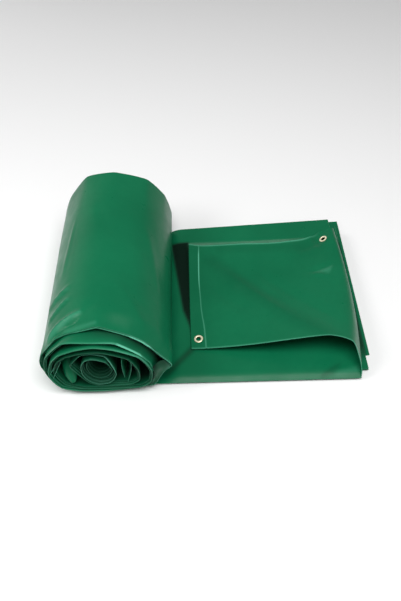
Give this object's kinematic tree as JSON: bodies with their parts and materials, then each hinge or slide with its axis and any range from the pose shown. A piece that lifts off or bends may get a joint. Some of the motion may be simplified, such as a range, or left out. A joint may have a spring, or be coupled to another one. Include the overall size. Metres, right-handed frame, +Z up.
{
  "type": "folded and rolled tarp",
  "caption": "Heavy coated-cloth tarp, folded lengthwise and rolled, with its loose end flat and the top layer turned back to show welded hems and brass eyelets.",
  "frame": {"origin": "on the floor, under the middle of the whole part", "axes": "+X from the roll to the loose end, +Y along the roll's axis away from the end that shows its turns, +Z up"},
  "size_m": [0.8342, 0.6162, 0.235],
  "materials": {
    "coated_cloth": "glossy coated cloth",
    "brass_eyelet": "polished"
  },
  "bodies": {
    "root": {"tarp_cloth": "coated_cloth", "hem_end": "coated_cloth", "hem_side": "coated_cloth", "eyelet_front": "brass_eyelet", "eyelet_back": "brass_eyelet"}
  },
  "joints": []
}
